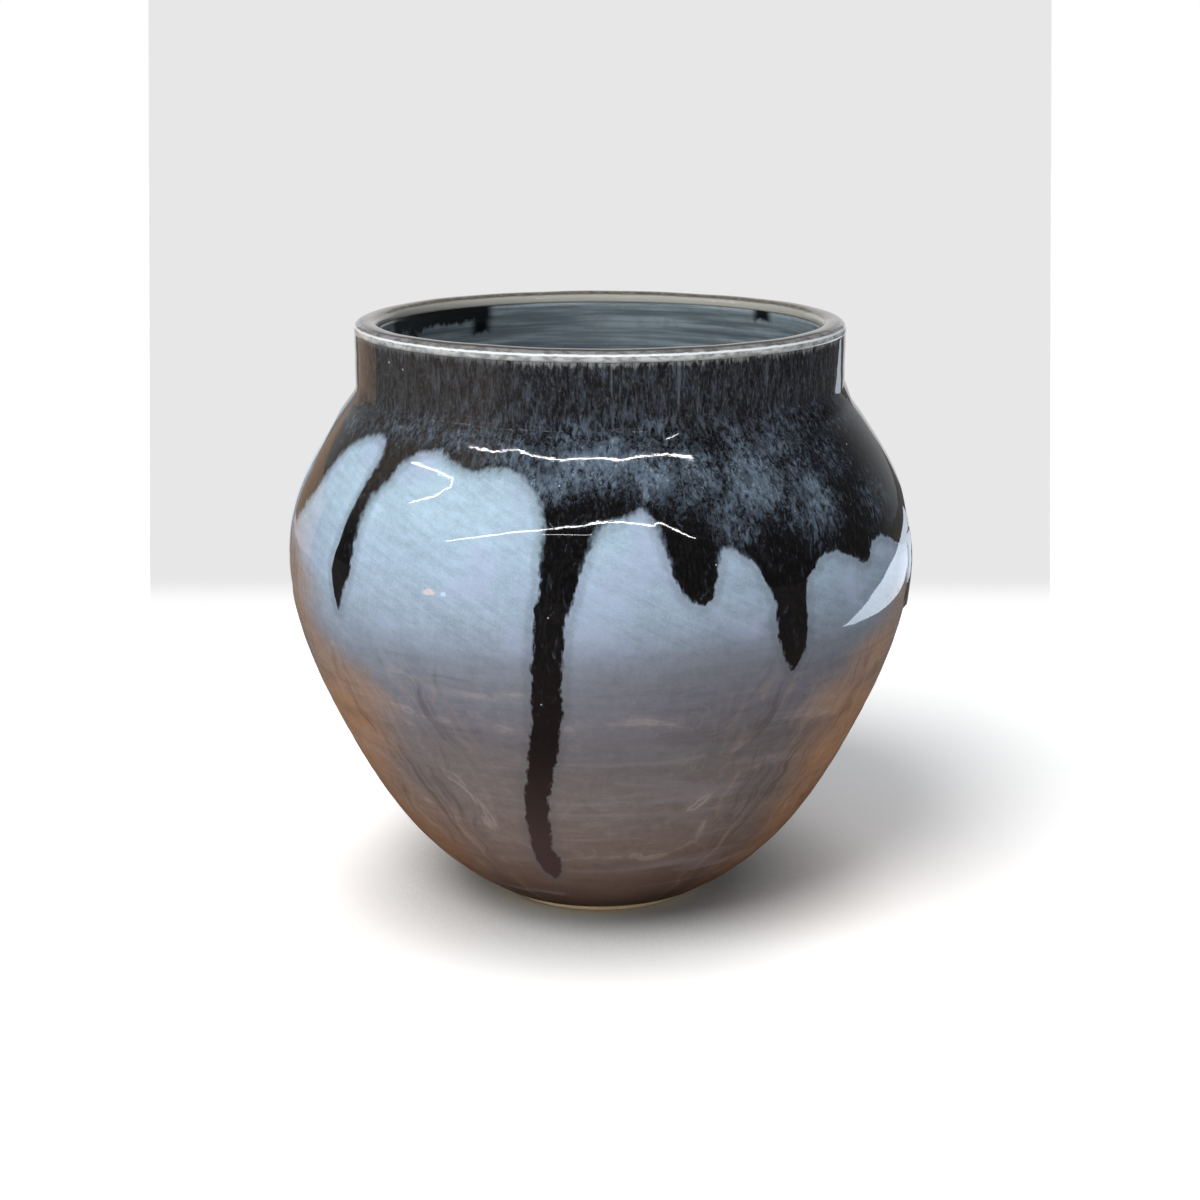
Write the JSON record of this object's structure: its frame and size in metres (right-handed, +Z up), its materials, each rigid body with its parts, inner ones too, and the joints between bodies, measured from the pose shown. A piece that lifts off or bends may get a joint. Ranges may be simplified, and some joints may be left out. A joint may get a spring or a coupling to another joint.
{
  "type": "moon jar",
  "caption": "Round-bellied stoneware moon jar with a wide collar neck, a small foot and dark glaze runs over a blue-grey and brown glaze.",
  "frame": {"origin": "centre of the foot ring's underside, on the surface that the jar stands on", "axes": "+Z up along the jar's axis; the front, with the long glaze run, faces -Y; +X is to the right of the front"},
  "size_m": [0.1996, 0.1997, 0.1872],
  "materials": {
    "stoneware_clay": "bare fired stoneware, matte and slightly gritty",
    "joint_slip": "fired clay slip",
    "body_glaze": "glossy blue-grey glaze that turns mauve and brown downwards",
    "dark_glaze": "glossy brown-black iron glaze with fine blue streaks",
    "run_glaze": "thick glossy brown-black glaze",
    "liner_glaze": "glossy blue-grey liner glaze",
    "lip_glaze": "glossy khaki grey glaze, thin and pale over the rim"
  },
  "bodies": {
    "root": {"foot_ring": "stoneware_clay", "lower_bowl": "stoneware_clay", "upper_bowl": "stoneware_clay", "neck_collar": "stoneware_clay", "foot_slip": "joint_slip", "waist_slip": "joint_slip", "neck_slip": "joint_slip", "liner_glaze": "liner_glaze", "body_glaze": "body_glaze", "dark_glaze": "dark_glaze", "lip_glaze": "lip_glaze", "run_far_left": "run_glaze", "run_left": "run_glaze", "run_front_long": "run_glaze", "run_right_blunt": "run_glaze", "run_right_pointed": "run_glaze", "run_right_small": "run_glaze", "run_back_a": "run_glaze", "run_back_b": "run_glaze", "run_back_c": "run_glaze", "run_back_d": "run_glaze", "run_back_e": "run_glaze"}
  },
  "joints": []
}
